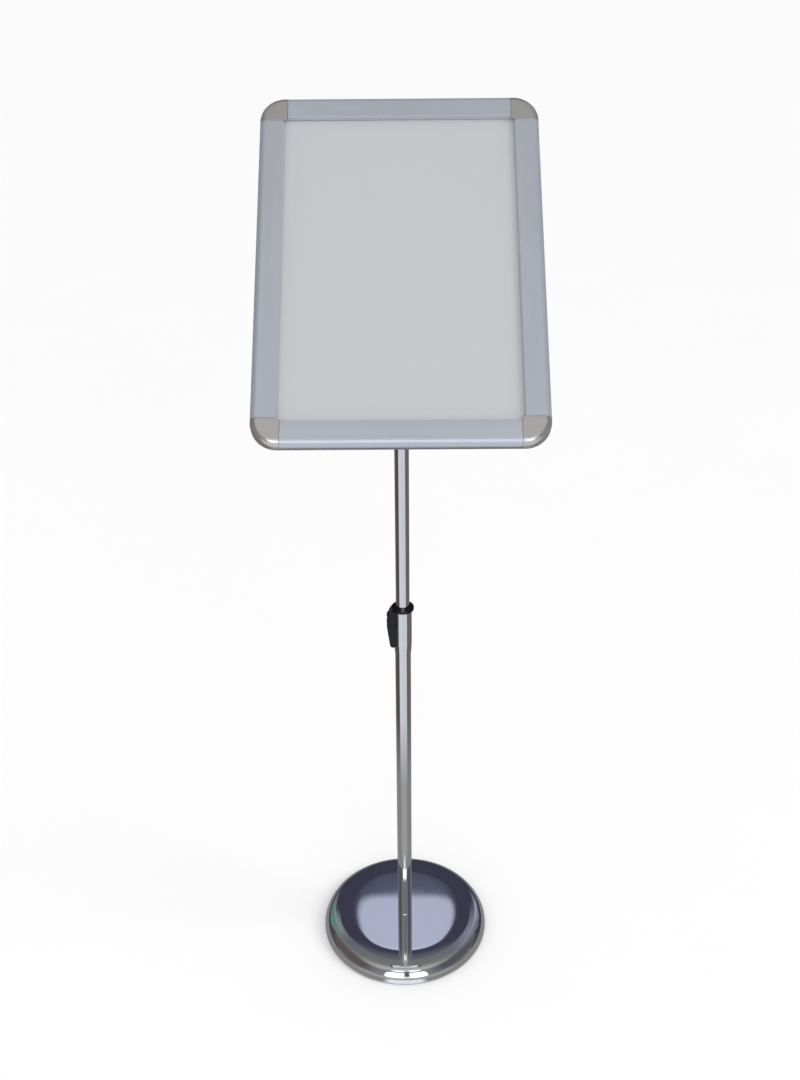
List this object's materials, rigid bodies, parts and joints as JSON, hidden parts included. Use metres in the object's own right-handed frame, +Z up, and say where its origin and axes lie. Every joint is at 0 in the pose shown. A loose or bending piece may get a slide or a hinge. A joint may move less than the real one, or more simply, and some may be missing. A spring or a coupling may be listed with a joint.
{
  "type": "sign stand",
  "caption": "Pedestal sign stand: round weighted chrome base, telescopic chrome pole with flip-lever clamp, and a tilting, turning snap-open sheet frame.",
  "frame": {"origin": "centre of the base's underside, on the floor and on the pole's axis", "axes": "+Z up along the pole, the sign faces -Y and leans back towards +Y, +X is to the right of someone reading the sign"},
  "size_m": [0.341, 0.3592, 1.2706],
  "materials": {
    "chrome": "polished chrome plate on steel",
    "cap_chrome": "chrome-plated corner cap, slightly warm",
    "anodised_aluminium": "satin silver anodised extrusion",
    "black_plastic": "moulded black nylon, semi-gloss",
    "black_steel": "black powder coat",
    "zinc_steel": "zinc-plated steel",
    "nylon": "natural nylon",
    "cast_weight": "rough casting",
    "pad_rubber": "foam rubber sheet",
    "brass_shoe": "plain brass",
    "white_board": "white styrene board",
    "clear_sheet": "anti-glare clear PVC"
  },
  "bodies": {
    "stand": {"base_cover": "chrome", "base_weight": "cast_weight", "base_pan": "black_steel", "base_pad": "pad_rubber", "pole_bolt": "zinc_steel", "bolt_washer": "zinc_steel", "foot_nut": "zinc_steel", "lower_tube": "chrome", "clamp_sleeve": "chrome", "clamp_bush": "black_plastic", "brake_pad": "brass_shoe", "lever_pin": "zinc_steel"},
    "lever": {"clamp_lever": "black_plastic"},
    "guide": {"guide_bush": "nylon"},
    "mast": {"upper_tube": "chrome", "mast_knuckle": "black_plastic", "knuckle_rivet": "zinc_steel"},
    "head": {"tilt_bracket": "black_steel", "tilt_bolt": "zinc_steel", "tilt_nut": "zinc_steel", "tilt_washers": "nylon"},
    "sign": {"mount_plate": "black_steel", "turn_disc": "nylon", "pivot_stud": "zinc_steel", "stud_washer": "zinc_steel", "stud_nut": "zinc_steel", "plate_screws": "zinc_steel", "plate_nuts": "zinc_steel", "back_panel": "white_board", "cover_sheet": "clear_sheet", "back_rail_bottom": "anodised_aluminium", "back_rail_right": "anodised_aluminium", "back_rail_top": "anodised_aluminium", "back_rail_left": "anodised_aluminium", "corner_keys": "zinc_steel", "cap_screws": "zinc_steel", "rail_springs": "zinc_steel", "corner_cap_bottom_left": "cap_chrome", "corner_cap_bottom_right": "cap_chrome", "corner_cap_top_left": "cap_chrome", "corner_cap_top_right": "cap_chrome"},
    "rail_bottom": {"snap_rail_bottom": "anodised_aluminium"},
    "rail_right": {"snap_rail_right": "anodised_aluminium"},
    "rail_top": {"snap_rail_top": "anodised_aluminium"},
    "rail_left": {"snap_rail_left": "anodised_aluminium"}
  },
  "joints": [
    {"name": "clamp_flip", "type": "hinge", "parent": "stand", "child": "lever", "pos_m": [-0.016, 0, 0.5985], "axis": [0, 1, 0], "range_deg": [0, 90]},
    {"name": "height_slide", "type": "slide", "parent": "stand", "child": "guide", "axis": [0, 0, 1], "range_m": [-0.25, 0.15]},
    {"name": "pole_swivel", "type": "hinge", "parent": "guide", "child": "mast", "pos_m": [0, 0, 0.34], "axis": [0, 0, 1], "continuous": true},
    {"name": "sign_tilt", "type": "hinge", "parent": "mast", "child": "head", "pos_m": [0, 0, 1.085], "axis": [1, 0, 0], "range_deg": [-40.5, 49.5]},
    {"name": "sign_turn", "type": "hinge", "parent": "head", "child": "sign", "pos_m": [0, -0.02273, 1.11161], "axis": [0, -0.6494, 0.7604], "range_deg": [0, 90]},
    {"name": "snap_bottom", "type": "hinge", "parent": "sign", "child": "rail_bottom", "pos_m": [0, -0.20137, 0.96693], "axis": [1, 0, 0], "range_deg": [0, 90]},
    {"name": "snap_right", "type": "hinge", "parent": "sign", "child": "rail_right", "pos_m": [0.1683, -0.02663, 1.11618], "axis": [0, 0.7604, 0.6494], "range_deg": [0, 90]},
    {"name": "snap_top", "type": "hinge", "parent": "sign", "child": "rail_top", "pos_m": [0, 0.14811, 1.26542], "axis": [-1, 0, 0], "range_deg": [0, 90]},
    {"name": "snap_left", "type": "hinge", "parent": "sign", "child": "rail_left", "pos_m": [-0.1683, -0.02663, 1.11618], "axis": [0, -0.7604, -0.6494], "range_deg": [0, 90]}
  ]
}
